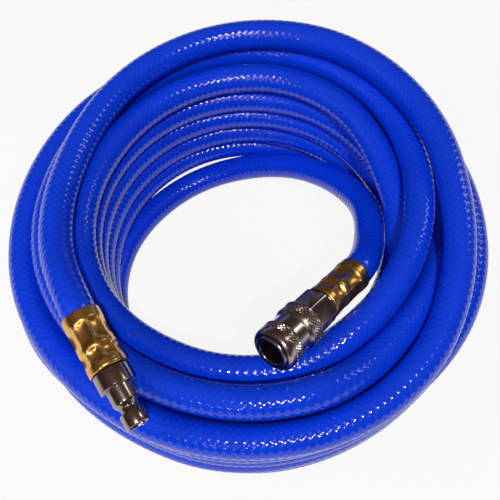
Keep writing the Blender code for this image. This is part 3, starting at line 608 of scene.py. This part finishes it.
for vertex in sleeve.data.vertices:
    radius, place = math.hypot(vertex.co.x, vertex.co.y) / MM, vertex.co.z / MM
    for start, end, top in (FRONT_BAND, REAR_BAND):
        if start + 0.05 < place < end - 0.05 and radius > top - 0.1:
            turn = TEETH * math.atan2(vertex.co.y, vertex.co.x) / (2 * math.pi)
            run = (place - start) / TOOTH_LENGTH
            tooth = min(1 - abs(2 * ((turn + run) % 1.0) - 1),
                        1 - abs(2 * ((turn - run) % 1.0) - 1))
            lower = 1 - TOOTH_DEPTH * (1 - tooth) / radius
            vertex.co.x *= lower
            vertex.co.y *= lower
lay(sleeve, coupler_frame, crease=25)
# The sleeve's nickel is a lighter copy of the housing's, painted brighter to stand in for the
# glints on its knurled bands; it is also a little rougher.
lighter_painted_nickel = metal("nickel_plate_painted_lighter", (0.52, 0.44, 0.40), (0.34, 0.27, 0.24), (0.18, 0.30),
                      grain=140.0)
sleeve.data.materials.append(lighter_painted_nickel)
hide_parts("coupler_sleeve")
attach(sleeve, "sleeve")

# ---- Coupler's inside ------------------------------------------------------------------
# Six steel balls, a brass valve, two springs and three rubber rings work inside the housing,
# and the barbed tail is screwed in behind the hexagon. Their solids are right as they are.
steel = metal("polished_steel", (0.56, 0.55, 0.54), (0.40, 0.38, 0.37), (0.06, 0.16), grain=300.0)
valve_brass = metal("turned_brass", (0.60, 0.42, 0.17), (0.46, 0.29, 0.09), (0.14, 0.28),
                    grain=260.0)

seal_rubber = bpy.data.materials.new("seal_rubber")
seal_rubber.use_nodes = True
tree = seal_rubber.node_tree
shader = tree.nodes["Principled BSDF"]
here = add_node(tree, "ShaderNodeTexCoord")
grit = add_node(tree, "ShaderNodeTexNoise", Vector=here.outputs["Object"], Scale=900.0, Detail=5.0)
dark = add_node(tree, "ShaderNodeMix", data_type="RGBA", _0=grit.outputs["Fac"])
dark.inputs[6].default_value = (0.010, 0.011, 0.010, 1)
dark.inputs[7].default_value = (0.030, 0.032, 0.028, 1)
tree.links.new(dark.outputs[2], shader.inputs["Base Color"])
shader.inputs["Roughness"].default_value = 0.55
bump = add_node(tree, "ShaderNodeBump", Height=grit.outputs["Fac"], Strength=0.4,
                Distance=0.02 * MM)
tree.links.new(bump.outputs[0], shader.inputs["Normal"])

inside = {
    "coupler_tail": nickel, "sleeve_retaining_ring": steel, "sleeve_spring": steel,
    "valve_spring": steel, "valve_poppet": valve_brass, "valve_seal": seal_rubber,
    "socket_seal": seal_rubber, "tail_seal": seal_rubber,
}
inside.update({f"locking_ball_{k}": steel for k in range(1, BALLS + 1)})
for name, finish in inside.items():
    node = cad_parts[name]
    node.data.materials.clear()
    node.data.materials.append(finish)

# ---- Floor and light -------------------------------------------------------------------
# The coil stands on a plain white table with a soft light at its front left. Two small lights
# on the camera's side draw the beads of gloss along the turns, and one behind edges the metal.
bpy.ops.mesh.primitive_plane_add(size=16, location=(0, 0, 0))
floor = bpy.context.object
floor.name = "floor"
floor_finish = bpy.data.materials.new("white_table")
floor_finish.use_nodes = True
tree = floor_finish.node_tree
matt = tree.nodes["Principled BSDF"]
matt.inputs["Base Color"].default_value = (0.60, 0.60, 0.60, 1)
matt.inputs["Roughness"].default_value = 0.9
matt.inputs["Specular IOR Level"].default_value = 0.0
paths = add_node(tree, "ShaderNodeLightPath")
white = add_node(tree, "ShaderNodeEmission")
white.inputs["Color"].default_value = (1, 1, 1, 1)
mirrored = add_node(tree, "ShaderNodeMath", operation="MAXIMUM", _0=paths.outputs["Is Glossy Ray"],
                    _1=paths.outputs["Is Transmission Ray"])
seen = add_node(tree, "ShaderNodeMath", operation="MAXIMUM", _0=paths.outputs["Is Camera Ray"],
                _1=mirrored.outputs[0])
WHITE_SHARE = 0.9               # the rest is lit, so that it takes the coil's shadow
share = add_node(tree, "ShaderNodeMath", operation="MULTIPLY", _0=seen.outputs[0], _1=WHITE_SHARE)
mix = add_node(tree, "ShaderNodeMixShader", _0=share.outputs[0])
tree.links.new(matt.outputs[0], mix.inputs[1])
tree.links.new(white.outputs[0], mix.inputs[2])
tree.links.new(mix.outputs[0], tree.nodes["Material Output"].inputs["Surface"])
floor.data.materials.append(floor_finish)


def lamp(name, place, target, size, power):
    """A round lamp, sized in metres and powered in watts, that faces a target."""
    data = bpy.data.lights.new(name, "AREA")
    data.shape, data.size, data.energy = "DISK", size, power
    made = bpy.data.objects.new(name, data)
    bpy.context.scene.collection.objects.link(made)
    made.location = place
    made.rotation_euler = (Vector(target) - Vector(place)).to_track_quat("-Z", "Y").to_euler()
    return made


COIL_MIDDLE, COIL_TOP = (0, 0, 0.05), (0, 0, 0.08)
soft_light = lamp("soft_light", (-0.32, -0.60, 0.62), COIL_MIDDLE, size=0.6, power=2.5)
soft_light.visible_glossy = False
lamp("bead_light", (0.586, -0.338, 1.450), COIL_TOP, size=0.075, power=12.5)
lamp("low_bead_light", (0.604, -1.046, 1.050), COIL_TOP, size=0.06, power=1.5)
lamp("back_light", (0.36, 0.96, 0.74), COIL_TOP, size=0.28, power=1.0)
world = bpy.data.worlds.new("studio")
world.use_nodes = True
tree = world.node_tree
direction = add_node(tree, "ShaderNodeTexCoord")
split = add_node(tree, "ShaderNodeSeparateXYZ", Vector=direction.outputs["Generated"])
walls = add_node(tree, "ShaderNodeValToRGB", Fac=split.outputs["Z"])
horizon, overhead = walls.color_ramp.elements
horizon.position, horizon.color = 0.02, (0.30, 0.29, 0.28, 1)
overhead.position, overhead.color = 1.0, (0.15, 0.095, 0.07, 1)
walls.color_ramp.elements.new(0.20).color = (0.035, 0.031, 0.032, 1)
walls.color_ramp.elements.new(0.60).color = (0.08, 0.055, 0.042, 1)
tree.links.new(walls.outputs[0], tree.nodes["Background"].inputs["Color"])
bpy.context.scene.world = world
bpy.context.scene.view_settings.view_transform = "Standard"
